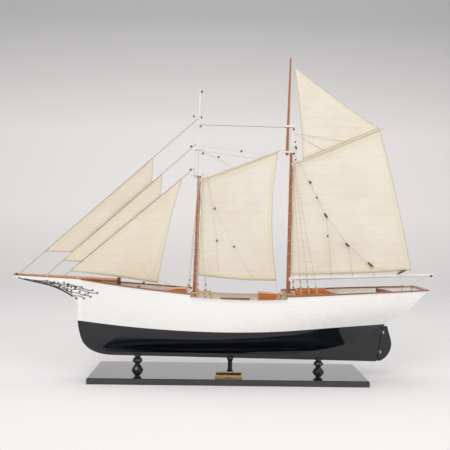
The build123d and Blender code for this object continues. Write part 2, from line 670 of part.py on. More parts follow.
def horse(foot, head, radius, z):
    """Curved bar, centred on the mast, that a sheet's ring slides along."""
    center = mast_axis(foot, head, z)
    ends = []
    for angle in (-HORSE_HALF_ANGLE, HORSE_HALF_ANGLE):
        turn = math.radians(angle)
        ends.append(center + Vector(radius * math.cos(turn), radius * math.sin(turn), 0))
    middle = center + Vector(radius, 0, 0)
    path = ThreePointArc(ends[0], middle, ends[1])
    bar = sweep(Plane(origin=path @ 0, z_dir=path % 0) * Circle(HORSE_R), path)
    for end in ends:
        foot_z = deck_height(end.X) - 0.5
        bar = bar + rod(Vector(end.X, end.Y, foot_z), end + Vector(0, 0, HORSE_R), HORSE_R)
    return bar


def sheet_with_ring(foot, head, radius, z, upper):
    """A sheet from a spar or clew down to a ring round its horse."""
    center = mast_axis(foot, head, z) + Vector(radius, 0, 0)
    ring = Solid.make_torus(HORSE_R + 1.0, 0.45, Plane(origin=center, z_dir=(0, 1, 0)))
    start = center + (upper - center).normalized() * (HORSE_R + 1.3)
    return ring + rod(start, upper, THIN_R + 0.1)


def lazy_jacks(side):
    """Fan of light lines from the masthead down to the boom on one side of the mainsail."""
    y = side * 3.2
    knots = [Vector(121, y, 425), Vector(183, y, 310), Vector(226, y, 255), Vector(268, y, 217)]
    lines = [rod(knots[i], knots[i + 1], THIN_R) for i in range(3)]
    start, end = MAIN_BOOM
    for knot, x in ((knots[1], 196), (knots[2], 236), (knots[3], 280), (knots[3], 332)):
        point = along(start, end, (x - start.X) / (end.X - start.X))
        lines.append(rod(knot, Vector(x, side * 1.8, point.Z), THIN_R))
    whole = lines[0]
    for line in lines[1:]:
        whole = whole + line
    for knot in knots[1:]:
        whole = whole + Solid.make_sphere(0.45, Plane(origin=knot))
    return whole


def gaff_halyards(spar, upper, shares):
    """Peak halyards from near the masthead to the gaff."""
    lines = []
    for share in shares:
        lines.append(rod(upper, along(spar[0], spar[1], share) + Vector(0, upper.Y * 0.9, 0), THIN_R))
    return lines[0] + lines[1] + Solid.make_sphere(0.5, Plane(origin=upper))


def build():
    pieces = hull_pieces()
    board, posts, screws = stand()
    pieces["base_board"] = board
    pieces["pedestals"] = group([posts["fore_pedestal"], posts["aft_pedestal"]])
    pieces["center_post"] = posts["center_post"]
    pieces["stand_screws"] = screws
    plate, pins = name_plate()
    pieces["name_plate"] = plate
    pieces["name_plate_pins"] = pins
    pieces["base_board"] = cut(board, *pins.solids())
    rudder, pintles, gudgeons = rudder_pieces()
    pieces["rudder"] = rudder
    pieces["rudder_pintles"] = pintles
    pieces["rudder_gudgeons"] = gudgeons
    pieces["trailboards"] = trailboards()

    fore = rod(FORE_FOOT, FORE_HEAD, MAST_R, MAST_HEAD_R)
    main = rod(MAIN_FOOT, MAIN_HEAD, MAST_R, MAST_HEAD_R)
    fore_top = rod(*FORE_TOPMAST, TOPMAST_R, TOPMAST_HEAD_R) - fore
    main_top = rod(*MAIN_TOPMAST, TOPMAST_R, TOPMAST_HEAD_R) - main
    pieces["center_spine"] = cut(pieces["center_spine"], fore, main)
    pieces["foremast"] = fore
    pieces["mainmast"] = main
    pieces["fore_topmast"] = fore_top
    pieces["main_topmast"] = main_top
    pieces["mast_caps"] = group([mast_caps(FORE_FOOT, FORE_HEAD, FORE_TRESTLE_Z, 433, [fore, fore_top]),
                                 mast_caps(MAIN_FOOT, MAIN_HEAD, MAIN_TRESTLE_Z, 479, [main, main_top])])
    coats = []
    for foot, head in ((FORE_FOOT, FORE_HEAD), (MAIN_FOOT, MAIN_HEAD)):
        z = deck_height(mast_axis(foot, head, 150).X) + 0.1
        coat = mast_ring(foot, head, z, MAST_R - 1, MAST_R + 2.6, 3.0)
        coats.append(coat - (fore if foot is FORE_FOOT else main) - pieces["deck"])
    pieces["mast_coats"] = group(coats)

    bowsprit = rod(BOWSPRIT_HEEL, BOWSPRIT_TIP, *BOWSPRIT_R)
    bands = []
    for share in (0.4, 0.685, 0.97):
        spot = along(BOWSPRIT_HEEL, BOWSPRIT_TIP, share)
        step = (BOWSPRIT_TIP - BOWSPRIT_HEEL).normalized() * 1.5
        radius = BOWSPRIT_R[0] + (BOWSPRIT_R[1] - BOWSPRIT_R[0]) * share
        bands.append(rod(spot - step, spot + step, radius + 0.7) - bowsprit - pieces["stem_knee"])
    pieces["bowsprit"] = bowsprit
    pieces["bowsprit_bands"] = group(bands)
    bitts = [block(-212, -207, s * 6.2 - 1.6, s * 6.2 + 1.6, 150, 186) for s in (-1, 1)]
    bar = block(-211.4, -207.6, -12, 12, 174, 177.4)
    bitt = bar + bitts[0] + bitts[1] - under_curve(SHEER, -DECK_DROP, -415, 445) - bowsprit
    pieces["bowsprit_bitts"] = bitt

    pieces["cargo_hatch"] = deck_box(-16, 38, 17, 4.5, 1.0)
    pieces["companionway"] = deck_wedge([(56, 14.5), (89, 11.0)], 14, 1.4, 0.8)
    pieces["fore_companionway"] = deck_wedge([(-132, 5.0), (-98, 14.2), (-81, 15.4)], 14, 1.4, 0.8)
    pieces["aft_deckhouse"] = deckhouse()
    pins_all = group([belaying_pins(*FORE_FIFE), belaying_pins(*MAIN_FIFE)])
    rails = group([fife_rail(*FORE_FIFE), fife_rail(*MAIN_FIFE)])
    pieces["belaying_pins"] = pins_all
    pieces["fife_rails"] = cut(rails, pieces["deck"], *pins_all.solids())
    pieces["rail_cleats"] = rail_cleats()
    wheel_z = deck_height(WHEEL_X) + WHEEL_UP
    wheel = Plane(origin=(WHEEL_X, 0, wheel_z), z_dir=(-1, 0, 0)) * steering_wheel()
    box = deck_wedge([(WHEEL_X + 4, 13.0), (327, 4.0)], 9, 1.2, 0.8)
    pieces["wheel_box"] = box - rod(Vector(270, 0, wheel_z), Vector(WHEEL_X + 6, 0, wheel_z), 0.86)
    pieces["steering_wheel"] = wheel

    pieces["fore_gaff"] = spar_with_jaws(FORE_GAFF, GAFF_R, FORE_FOOT, FORE_HEAD)
    pieces["main_gaff"] = spar_with_jaws(MAIN_GAFF, GAFF_R, MAIN_FOOT, MAIN_HEAD)
    pieces["main_boom"] = spar_with_jaws(MAIN_BOOM, BOOM_R, MAIN_FOOT, MAIN_HEAD)
    pieces["fore_mast_hoops"] = hoops(FORE_FOOT, FORE_HEAD, 207, 357, 7)
    pieces["main_mast_hoops"] = hoops(MAIN_FOOT, MAIN_HEAD, 211, 389, 8)

    foresail = sail([(-58.6, 0, 193), (-54.8, 0, 369.5), (87, 0, 426.2), (88.3, 0, 185)], [0, 0, 2, 3])
    mainsail = sail([(118.2, 0, 196.5), (119.4, 0, 401.5), (283.8, 0, 473.2), (348.4, 0, 207.7)], [0, 0, 3, 2])
    topsail = sail([(137, 0, 417), (117.5, 0, 594), (281, 0, 479)], [-3, -3, 0])
    pieces["foresail"] = cut(foresail, *pieces["fore_gaff"].solids(), *pieces["fore_mast_hoops"].solids())
    pieces["mainsail"] = cut(mainsail, *pieces["main_gaff"].solids(), *pieces["main_mast_hoops"].solids())
    pieces["main_topsail"] = cut(topsail, *pieces["main_gaff"].solids())
    stays = [rod(*FLYING_STAY, STAY_R), rod(*JIB_STAY, STAY_R), rod(*FORE_STAY, STAY_R)]
    heads = []
    for (low, high), tack, peak, clew, foot in ((FLYING_STAY, 0.148, 0.745, (-172, 16, 238), 3),
                                                (JIB_STAY, 0.112, 0.756, (-163, 8, 213), 2),
                                                (FORE_STAY, 0.055, 0.876, (-136, 0, 176.5), -1)):
        leech = -4 if low is FORE_STAY[0] else 6
        heads.append(sail([tuple(along(low, high, tack)), tuple(along(low, high, peak)), clew],
                          [0, leech, foot]))
    for name, canvas, stay in zip(("flying_jib", "jib", "fore_staysail"), heads, stays):
        pieces[name] = cut(canvas, stay)
    pieces["stays"] = cut(group(stays), bowsprit, fore_top, fore, *pieces["mast_caps"].solids(), *bands)
    triatic = rod(Vector(-63.6, 0, 479), Vector(115.2, 0, 477), STAY_R)
    triatic = cut(triatic, fore_top, main, main_top, *pieces["mast_caps"].solids())
    pieces["stays"] = group([pieces["stays"], triatic])

    caps = pieces["mast_caps"]
    fore_set = shroud_rigging(SHROUD_LOW_FORE, FORE_FOOT, FORE_HEAD, FORE_TRESTLE_Z - 1.4, caps)
    main_set = shroud_rigging(SHROUD_LOW_MAIN, MAIN_FOOT, MAIN_HEAD, MAIN_TRESTLE_Z - 1.4, caps)
    for name in ("shrouds", "ratlines", "deadeyes", "lanyards", "shroud_eyebolts"):
        pieces[name] = group([fore_set[name], main_set[name]])
    for name in ("fore_cap_rail", "waist_cap_rail", "aft_cap_rail", "topside_planking"):
        pieces[name] = cut(pieces[name], *pieces["shroud_eyebolts"].solids())
    pieces["fore_cap_rail"] = cut(pieces["fore_cap_rail"], *pieces["rail_cleats"].solids())

    pieces["sheet_horses"] = group([horse(FORE_FOOT, FORE_HEAD, FORE_HORSE_RADIUS, FORE_HORSE_Z),
                                    horse(MAIN_FOOT, MAIN_HEAD, MAIN_HORSE_RADIUS, MAIN_HORSE_Z)])
    pieces["sheet_horses"] = cut(pieces["sheet_horses"], pieces["deck"])
    fore_clew = Vector(88.3, 0, 185)
    boom_point = along(MAIN_BOOM[0], MAIN_BOOM[1], 0.975)
    fore_sheet = sheet_with_ring(FORE_FOOT, FORE_HEAD, FORE_HORSE_RADIUS, FORE_HORSE_Z, fore_clew)
    main_sheet = sheet_with_ring(MAIN_FOOT, MAIN_HEAD, MAIN_HORSE_RADIUS, MAIN_HORSE_Z, boom_point)
    fore_halyard = gaff_halyards(FORE_GAFF, Vector(-54.6, -1.6, 428), (0.42, 0.72))
    main_halyard = gaff_halyards(MAIN_GAFF, Vector(119.8, -1.6, 466), (0.36, 0.62))
    pieces["fore_running_lines"] = group([cut(fore_sheet, pieces["foresail"]),
                                          cut(fore_halyard, *pieces["fore_gaff"].solids())])
    jacks = cut(group([lazy_jacks(-1), lazy_jacks(1)]), *pieces["main_boom"].solids())
    pieces["main_running_lines"] = group([cut(main_sheet, *pieces["main_boom"].solids()), jacks,
                                          cut(main_halyard, *pieces["main_gaff"].solids())])
    return pieces


for node_name, node_shape in build().items():
    save(node_shape, node_name)
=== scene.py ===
import math
import random
import bpy
import bmesh
from mathutils import Matrix, Vector


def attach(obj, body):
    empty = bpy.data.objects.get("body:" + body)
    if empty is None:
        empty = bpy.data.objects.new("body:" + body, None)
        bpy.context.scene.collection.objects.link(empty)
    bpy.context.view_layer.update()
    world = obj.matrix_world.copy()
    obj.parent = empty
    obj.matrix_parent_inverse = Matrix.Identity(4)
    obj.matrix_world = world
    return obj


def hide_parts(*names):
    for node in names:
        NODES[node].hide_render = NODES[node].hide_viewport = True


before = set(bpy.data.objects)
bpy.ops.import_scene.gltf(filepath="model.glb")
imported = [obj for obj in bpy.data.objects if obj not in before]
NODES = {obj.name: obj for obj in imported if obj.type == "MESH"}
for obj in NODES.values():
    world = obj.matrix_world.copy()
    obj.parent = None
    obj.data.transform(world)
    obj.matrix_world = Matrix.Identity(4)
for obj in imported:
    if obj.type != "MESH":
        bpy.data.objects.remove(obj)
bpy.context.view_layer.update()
MM = 0.001


def mm(x, y, z):
    return Vector((x * MM, y * MM, z * MM))


# ------------------------------------------------------------------ materials
class Shade:
    """A small builder for node materials in object space."""

    def __init__(self, name, color, rough=0.5, metallic=0.0, coat=0.0, coat_rough=0.1, sheen=0.0):
        self.mat = bpy.data.materials.new(name)
        self.mat.use_nodes = True
        self.nt = self.mat.node_tree
        self.bsdf = self.nt.nodes["Principled BSDF"]
        self.color = (*color, 1.0)
        self.bsdf.inputs["Base Color"].default_value = self.color
        self.bsdf.inputs["Roughness"].default_value = rough
        self.bsdf.inputs["Metallic"].default_value = metallic
        self.bsdf.inputs["Coat Weight"].default_value = coat
        self.bsdf.inputs["Coat Roughness"].default_value = coat_rough
        self.bsdf.inputs["Sheen Weight"].default_value = sheen
        self.rough = rough
        self.coord = self.add("ShaderNodeTexCoord").outputs["Object"]
        self.paint = None
        self.height = None

    def add(self, kind, **props):
        node = self.nt.nodes.new(kind)
        for key, value in props.items():
            setattr(node, key, value)
        return node

    def link(self, a, b):
        self.nt.links.new(a, b)

    def stretch(self, x, y, z):
        m = self.add("ShaderNodeMapping")
        m.inputs["Scale"].default_value = (x, y, z)
        self.link(self.coord, m.inputs["Vector"])
        return m.outputs["Vector"]

    def noise(self, scale, detail=4.0, vector=None, rough=0.5, distort=0.0):
        node = self.add("ShaderNodeTexNoise")
        node.inputs["Scale"].default_value = scale
        node.inputs["Detail"].default_value = detail
        node.inputs["Roughness"].default_value = rough
        node.inputs["Distortion"].default_value = distort
        self.link(vector or self.coord, node.inputs["Vector"])
        return node.outputs["Fac"]

    def math(self, op, a, b=None, c=None):
        node = self.add("ShaderNodeMath", operation=op)
        for i, value in enumerate((a, b, c)):
            if value is None:
                continue
            if isinstance(value, (int, float)):
                node.inputs[i].default_value = value
            else:
                self.link(value, node.inputs[i])
        return node.outputs[0]

    def span(self, value, lo, hi, to_lo=0.0, to_hi=1.0):
        node = self.add("ShaderNodeMapRange")
        node.inputs["From Min"].default_value = lo
        node.inputs["From Max"].default_value = hi
        node.inputs["To Min"].default_value = to_lo
        node.inputs["To Max"].default_value = to_hi
        self.link(value, node.inputs["Value"])
        return node.outputs["Result"]

    def axis(self, which, vector=None):
        node = self.add("ShaderNodeSeparateXYZ")
        self.link(vector or self.coord, node.inputs["Vector"])
        return node.outputs[which]

    def lines(self, value, spacing, width, wobble=None):
        """1 on thin lines every spacing along value, 0 between them."""
        if wobble is not None:
            value = self.math("ADD", value, wobble)
        share = self.math("FRACT", self.math("DIVIDE", value, spacing))
        off = self.math("ABSOLUTE", self.math("SUBTRACT", share, 0.5))
        return self.span(off, 0.5 - width / spacing, 0.5, 0.0, 1.0)

    def tint(self, color, amount):
        """Mixes color in by amount, a socket or a number."""
        node = self.add("ShaderNodeMix", data_type="RGBA")
        if isinstance(amount, (int, float)):
            node.inputs["Factor"].default_value = amount
        else:
            self.link(amount, node.inputs["Factor"])
        if self.paint is None:
            node.inputs["A"].default_value = self.color
        else:
            self.link(self.paint, node.inputs["A"])
        node.inputs["B"].default_value = (*color, 1.0)
        self.paint = node.outputs["Result"]
        self.link(self.paint, self.bsdf.inputs["Base Color"])
        return self

    def wear(self, value, lo, hi):
        """Roughness from a texture value."""
        self.link(self.span(value, 0.3, 0.7, lo, hi), self.bsdf.inputs["Roughness"])
        return self

    def bump(self, value, depth, strength=1.0):
        node = self.add("ShaderNodeBump")
        node.inputs["Distance"].default_value = depth
        node.inputs["Strength"].default_value = strength
        self.link(value, node.inputs["Height"])
        if self.height is not None:
            self.link(self.height, node.inputs["Normal"])
        self.height = node.outputs["Normal"]
        self.link(self.height, self.bsdf.inputs["Normal"])
        return self


def varnished(name, color, dark, grain=(40, 900, 900), rough=0.28, coat=0.35):
    s = Shade(name, color, rough, coat=coat, coat_rough=0.12)
    streaks = s.noise(1.0, 6, s.stretch(*grain), 0.6, 0.4)
    pores = s.noise(2.6, 3, s.stretch(*grain), 0.7)
    s.tint(dark, s.span(streaks, 0.42, 0.72, 0.0, 0.75))
    s.tint([c * 1.35 for c in color], s.span(s.noise(35, 3), 0.5, 0.75, 0.0, 0.3))
    s.tint([c * 0.5 for c in dark], s.span(pores, 0.62, 0.8, 0.0, 0.35))
    s.wear(s.noise(60, 3), rough - 0.06, rough + 0.14)
    return s.bump(streaks, 0.00004).bump(pores, 0.00002)


def painted(name, color, rough=0.3, coat=0.3, shade=0.82, mottle=0.35):
    s = Shade(name, color, rough, coat=coat, coat_rough=0.08)
    s.tint([c * shade for c in color], s.span(s.noise(28, 5), 0.45, 0.75, 0.0, 0.4))
    s.tint([min(c * 1.08, 0.95) for c in color], s.span(s.noise(190, 3), 0.55, 0.8, 0.0, mottle))
    s.wear(s.noise(80, 4), rough - 0.05, rough + 0.12)
    return s.bump(s.noise(600, 3), 0.000012)


def sheer_height(s, flatten=1.0):
    """Height above a curve that runs like the ship's sheer, for plank seams."""
    x = s.axis("X")
    off = s.math("SUBTRACT", x, 0.034)
    rise = s.math("MULTIPLY", s.math("MULTIPLY", off, off), 0.17 * flatten)
    return s.math("SUBTRACT", s.axis("Z"), rise)


def topside_paint():
    s = painted("topside_white_paint", (0.89, 0.877, 0.85), 0.2, 0.3, 0.98, 0.15)
    w = sheer_height(s)
    seams = s.lines(w, 0.0078, 0.00035)
    s.tint((0.62, 0.60, 0.56), s.math("MULTIPLY", seams, 0.28))
    butts = s.lines(s.axis("X"), 0.115, 0.0003)
    s.tint((0.62, 0.60, 0.56), s.math("MULTIPLY", butts, 0.14))
    return s.bump(seams, -0.00012, 0.6).bump(s.noise(45, 2), 0.0003, 0.12)


def bottom_paint():
    s = Shade("bottom_navy_gloss", (0.004, 0.006, 0.009), 0.08, coat=0.25, coat_rough=0.03)
    s.bsdf.inputs["IOR"].default_value = 1.46
    s.tint((0.002, 0.003, 0.005), s.span(s.noise(20, 4), 0.4, 0.7, 0.0, 0.7))
    s.tint((0.02, 0.024, 0.028), s.span(s.noise(420, 2), 0.66, 0.8, 0.0, 0.3))
    seams = s.lines(sheer_height(s, 0.6), 0.009, 0.0003)
    s.wear(s.noise(70, 4), 0.06, 0.16)
    return s.bump(seams, -0.00005, 0.4).bump(s.noise(30, 2), 0.0003, 0.08)


def deck_planks(name="deck_planks", spacing=0.0045, color=(0.66, 0.56, 0.40), dark=(0.50, 0.38, 0.24)):
    s = varnished(name, color, dark, (30, 700, 700), 0.35, 0.25)
    row = s.math("FLOOR", s.math("DIVIDE", s.axis("Y"), spacing))
    pick = s.add("ShaderNodeTexWhiteNoise", noise_dimensions="1D")
    s.link(row, pick.inputs["W"])
    s.tint((0.80, 0.72, 0.56), s.span(pick.outputs["Value"], 0.0, 1.0, 0.0, 0.5))
    seams = s.lines(s.axis("Y"), spacing, 0.0003)
    s.tint((0.12, 0.07, 0.04), s.math("MULTIPLY", seams, 0.7))
    shift = s.math("MULTIPLY", pick.outputs["Value"], 0.09)
    butts = s.lines(s.axis("X"), 0.09, 0.0004, shift)
    s.tint((0.03, 0.018, 0.012), s.math("MULTIPLY", butts, 0.7))
    return s.bump(seams, -0.0002)


def black_lacquer(name, rough=0.07, coat_ior=1.5):
    s = Shade(name, (0.006, 0.006, 0.0065), rough, coat=1.0, coat_rough=0.03)
    s.bsdf.inputs["Coat IOR"].default_value = coat_ior
    s.tint((0.03, 0.029, 0.028), s.span(s.noise(25, 5), 0.45, 0.75, 0.0, 0.5))
    s.tint((0.16, 0.155, 0.15), s.span(s.noise(1600, 2), 0.74, 0.84, 0.0, 0.35))
    s.wear(s.noise(40, 5), rough - 0.02, rough + 0.09)
    return s.bump(s.noise(300, 3), 0.00001)


def metal(name, color, rough=0.28, scratch=900):
    s = Shade(name, color, rough, metallic=1.0)
    s.tint([c * 0.45 for c in color], s.span(s.noise(90, 5), 0.5, 0.78, 0.0, 0.7))
    s.wear(s.noise(scratch, 4, s.stretch(1, 0.1, 1)), rough - 0.08, rough + 0.2)
    return s.bump(s.noise(scratch, 3), 0.00001)


def thread(name, color, pitch=0.0016):
    """Twisted cord: slanting strands round the line with painted shade in the grooves between them, and fuzz.
    """
    s = Shade(name, color, 0.85, sheen=0.15)
    wave = s.add("ShaderNodeTexWave", wave_type="BANDS", bands_direction="DIAGONAL")
    wave.inputs["Scale"].default_value = 0.18 / pitch
    wave.inputs["Distortion"].default_value = 0.6
    s.link(s.coord, wave.inputs["Vector"])
    # painted shade: the grooves between the strands (low part of the wave bump) are darkened
    s.tint([c * 0.5 for c in color], s.span(wave.outputs["Fac"], 0.0, 0.5, 0.6, 0.0))
    s.tint([min(1, c * 1.25) for c in color], s.span(s.noise(500, 3), 0.5, 0.8, 0.0, 0.4))
    s.wear(s.noise(200, 3), 0.75, 0.95)
    return s.bump(wave.outputs["Fac"], 0.00012)


HEM = 0.007


def canvas(name, seam_gap, color=(0.79, 0.735, 0.63), hem_width=HEM):
    """Cream sailcloth: fine weave, sewn horizontal seams, darker hems and light soiling."""
    s = Shade(name, color, 0.82, sheen=0.12)
    s.bsdf.inputs["Subsurface Weight"].default_value = 0.12
    s.bsdf.inputs["Subsurface Radius"].default_value = (0.004, 0.0032, 0.002)
    uv = s.add("ShaderNodeUVMap", uv_map="edge").outputs["UV"]
    near = s.math("MINIMUM", s.axis("X", uv), s.axis("Y", uv))
    s.tint((0.70, 0.59, 0.47), s.span(s.noise(11, 5), 0.42, 0.72, 0.0, 0.5))
    s.tint((0.85, 0.81, 0.73), s.span(s.noise(26, 4), 0.5, 0.8, 0.0, 0.4))
    wobble = s.math("MULTIPLY", s.noise(9, 2), 0.0016)
    seam = s.lines(s.axis("Z"), seam_gap, 0.0011, wobble)
    s.tint((0.58, 0.50, 0.40), s.math("MULTIPLY", seam, 0.22))
    hem = s.span(near, hem_width - 0.0004, hem_width, 1.0, 0.0)
    s.tint((0.76, 0.69, 0.49), s.math("MULTIPLY", hem, 0.6))
    stitch_run = s.lines(s.math("ADD", s.axis("X"), s.math("MULTIPLY", s.axis("Z"), 0.61)), 0.0016, 0.0005)
    on_line = s.math("MULTIPLY", s.span(s.math("ABSOLUTE", s.math("SUBTRACT", near, hem_width - 0.0006)),
                                        0.0001, 0.0004, 1.0, 0.0), stitch_run)
    s.tint((0.36, 0.29, 0.2), s.math("MULTIPLY", on_line, 0.7))
    warp = s.lines(s.axis("Z"), 0.0007, 0.00035)
    weft = s.lines(s.axis("X"), 0.0007, 0.00035)
    weave = s.math("MULTIPLY", warp, weft)
    s.tint((0.58, 0.51, 0.40), s.math("MULTIPLY", weave, 0.22))
    s.wear(s.noise(100, 3), 0.74, 0.92)
    return s.bump(weave, 0.00005, 0.5).bump(seam, 0.0002, 0.6).bump(hem, 0.0003, 0.7)


def masted(name, split_z, below_color, below_dark, above_color):
    """A varnished lower mast with its head painted above split_z."""
    s = varnished(name, below_color, below_dark, (700, 700, 26), 0.26, 0.4)
    s.tint(above_color, s.span(s.axis("Z"), split_z - 0.0002, split_z + 0.0002, 0.0, 1.0))
    return s


RED_BROWN = (0.40, 0.135, 0.045)
RED_DARK = (0.19, 0.06, 0.024)
ORANGE = (0.58, 0.185, 0.035)
ORANGE_DARK = (0.26, 0.085, 0.022)
WHITE = (0.78, 0.75, 0.70)

def bowsprit_rings():
    """Pale rings along the bowsprit and a black one at its tip."""
    s = Shade("bowsprit_rings", (0.60, 0.40, 0.22), 0.4, coat=0.2, coat_rough=0.1)
    s.tint((0.45, 0.28, 0.14), s.span(s.noise(400, 3), 0.4, 0.7, 0.0, 0.6))
    s.tint((0.02, 0.017, 0.015), s.span(s.axis("X"), -0.393, -0.390, 1.0, 0.0))
    return s.bump(s.noise(700, 3), 0.00002)


MATS = {
    "topside": topside_paint(),
    "bottom": bottom_paint(),
    "white": painted("white_spar_paint", WHITE, 0.32, 0.25, 0.86),
    "cream": painted("cream_spar_paint", (0.66, 0.56, 0.42), 0.36, 0.2, 0.8),
    "foremast": masted("foremast_varnish", 0.384, RED_BROWN, RED_DARK, WHITE),
    "mainmast": masted("mainmast_varnish", 0.432, RED_BROWN, RED_DARK, WHITE),
    "topmast": varnished("topmast_varnish", RED_BROWN, RED_DARK, (700, 700, 26)),
    "rail": varnished("rail_varnish", (0.30, 0.095, 0.04), (0.15, 0.04, 0.018)),
    "bowsprit": varnished("bowsprit_varnish", (0.50, 0.20, 0.075), (0.30, 0.10, 0.035)),
    "bowsprit_band": bowsprit_rings(),
    "deck": deck_planks(),
    "house": varnished("deckhouse_varnish", ORANGE, ORANGE_DARK, (50, 600, 600)),
    "hatch": varnished("hatch_varnish", (0.34, 0.19, 0.09), (0.2, 0.1, 0.045), (50, 600, 600)),
    "light_wood": varnished("deadeye_wood", (0.42, 0.27, 0.15), (0.25, 0.14, 0.07), (300, 300, 300)),
    "rope": thread("cream_rope", (0.72, 0.62, 0.45), 0.0011),
    "pale": varnished("pale_fittings", (0.68, 0.48, 0.27), (0.46, 0.28, 0.13), (300, 300, 300)),
    "dark_wood": varnished("dark_fittings", (0.09, 0.035, 0.018), (0.04, 0.015, 0.009), (300, 300, 300)),
    "lacquer": black_lacquer("board_black_lacquer", 0.06, 1.52),
    "turned": black_lacquer("pedestal_black_gloss", 0.16, 1.3),
    "brass": metal("aged_brass", (0.62, 0.42, 0.17)),
    "bright_brass": metal("polished_brass", (0.80, 0.58, 0.26), 0.2),
    "steel": metal("zinc_steel", (0.62, 0.62, 0.62), 0.3),
    "wire": metal("black_iron", (0.05, 0.048, 0.045), 0.45),
    "thread": thread("tan_thread", (0.58, 0.50, 0.38)),
    "dark_thread": thread("dark_thread", (0.26, 0.21, 0.165)),
    "ply": varnished("bare_ply", (0.52, 0.34, 0.17), (0.38, 0.22, 0.1), (30, 500, 500), 0.6, 0.0),
    "block_wood": varnished("block_wood", (0.11, 0.045, 0.024), (0.05, 0.02, 0.011), (300, 300, 300)),
    "scroll": painted("black_scroll_paint", (0.02, 0.02, 0.022), 0.35, 0.2, 0.6),
    "canvas_wide": canvas("sailcloth_wide_seams", 0.0185),
    "canvas_jib": canvas("sailcloth_head_sails", 0.0165, (0.80, 0.715, 0.575), 0.0105),
}

USE = {
    "base_board": "lacquer", "pedestals": "turned", "center_post": "turned", "stand_screws": "steel",
    "name_plate_pins": "bright_brass", "topside_planking": "topside", "bottom_planking": "bottom",
    "keel": "bottom", "stem_knee": "topside", "center_spine": "ply", "bulkheads": "ply", "deck": "deck",
    "fore_cap_rail": "rail", "aft_cap_rail": "rail", "waist_cap_rail": "white", "trailboards": "scroll",
    "bowsprit": "bowsprit", "bowsprit_bands": "bowsprit_band", "bowsprit_bitts": "dark_wood",
    "rail_cleats": "dark_wood", "fore_companionway": "house", "fife_rails": "pale",
    "belaying_pins": "bright_brass",
    "cargo_hatch": "hatch", "companionway": "house", "aft_deckhouse": "house", "wheel_box": "rail",
    "steering_wheel": "dark_wood", "rudder": "bottom", "rudder_gudgeons": "bottom",
    "rudder_pintles": "wire", "mast_coats": "white", "foremast": "foremast", "mainmast": "mainmast",
    "fore_topmast": "white", "main_topmast": "topmast", "mast_caps": "white", "fore_gaff": "cream",
    "main_gaff": "cream", "main_boom": "white", "fore_mast_hoops": "pale", "main_mast_hoops": "pale",
    "deadeyes": "light_wood", "shroud_eyebolts": "brass", "sheet_horses": "bright_brass",
    "shrouds": "thread", "ratlines": "thread", "lanyards": "thread", "stays": "dark_thread",
    "fore_running_lines": "thread", "main_running_lines": "thread", "name_plate": "brass",
    "foresail": "canvas_wide", "mainsail": "canvas_wide", "main_topsail": "canvas_wide",
    "flying_jib": "canvas_jib", "jib": "canvas_jib", "fore_staysail": "canvas_jib",
}


def plate_material():
    """Brass plate: blackened upper half inside a bright rim, plain lower half, no lettering."""
    s = Shade("name_plate_brass", (0.55, 0.38, 0.2), 0.3, metallic=0.85)
    z = s.axis("Z")
    x = s.axis("X")
    upper = s.span(z, 0.0163, 0.0167, 0.0, 1.0)
    inside = s.span(s.math("ABSOLUTE", x), 0.0225, 0.0229, 1.0, 0.0)
    top = s.span(z, 0.0214, 0.0217, 1.0, 0.0)
    s.tint((0.045, 0.028, 0.018), s.math("MULTIPLY", s.math("MULTIPLY", upper, inside), top))
    s.tint((0.3, 0.2, 0.1), s.span(s.noise(120, 5), 0.5, 0.75, 0.0, 0.5))
    s.wear(s.noise(500, 3, s.stretch(0.1, 1, 1)), 0.22, 0.42)
    return s.bump(s.noise(900, 3, s.stretch(0.1, 1, 1)), 0.00001)


MATS["plate"] = plate_material()
USE["name_plate"] = "plate"

for name, key in USE.items():
    for slot in NODES[name].material_slots:
        slot.material = MATS[key].mat


# ------------------------------------------------------------------ mesh helpers
def mesh_object(name, verts, faces, mat, smooth=True):
    mesh = bpy.data.meshes.new(name)
    mesh.from_pydata([tuple(v) for v in verts], [], faces)
    mesh.materials.append(MATS[mat].mat)
    for poly in mesh.polygons:
        poly.use_smooth = smooth
    obj = bpy.data.objects.new(name, mesh)
    bpy.context.scene.collection.objects.link(obj)
    return obj


def turned_mesh(profile, axis_from, axis_to, sides=20):
    """Vertices and faces of a form turned about a line; profile is (share, radius) pairs."""
    axis = (axis_to - axis_from)
    side = axis.orthogonal().normalized()
    up = axis.cross(side).normalized()
    verts, faces = [], []
    for share, radius in profile:
        for i in range(sides):
            turn = 2 * math.pi * i / sides
            verts.append(axis_from + axis * share + (side * math.cos(turn) + up * math.sin(turn)) * radius)
    for row in range(len(profile) - 1):
        for i in range(sides):
            j = (i + 1) % sides
            faces.append((row * sides + i, row * sides + j, (row + 1) * sides + j, (row + 1) * sides + i))
    faces.append(tuple(reversed(range(sides))))
    faces.append(tuple((len(profile) - 1) * sides + i for i in range(sides)))
    return verts, faces


def merged(name, parts, mat, smooth=True):
    """One mesh object from several (vertices, faces) pairs."""
    verts, faces = [], []
    for some_verts, some_faces in parts:
        base = len(verts)
        verts.extend(some_verts)
        faces.extend(tuple(base + i for i in face) for face in some_faces)
    return mesh_object(name, verts, faces, mat, smooth)


def line_tube(points, radius, sides=8):
    """Vertices and faces of a round tube that follows points."""
    verts, faces = [], []
    count = len(points)
    side = (points[1] - points[0]).orthogonal().normalized()
    for k, p in enumerate(points):
        ahead = (points[min(k + 1, count - 1)] - points[max(k - 1, 0)]).normalized()
        side = (side - ahead * side.dot(ahead)).normalized()
        up = ahead.cross(side)
        for i in range(sides):
            turn = 2 * math.pi * i / sides
            verts.append(p + (side * math.cos(turn) + up * math.sin(turn)) * radius)
    for row in range(count - 1):
        for i in range(sides):
            j = (i + 1) % sides
            faces.append((row * sides + i, row * sides + j, (row + 1) * sides + j, (row + 1) * sides + i))
    faces.append(tuple(reversed(range(sides))))
    faces.append(tuple((count - 1) * sides + i for i in range(sides)))
    return verts, faces


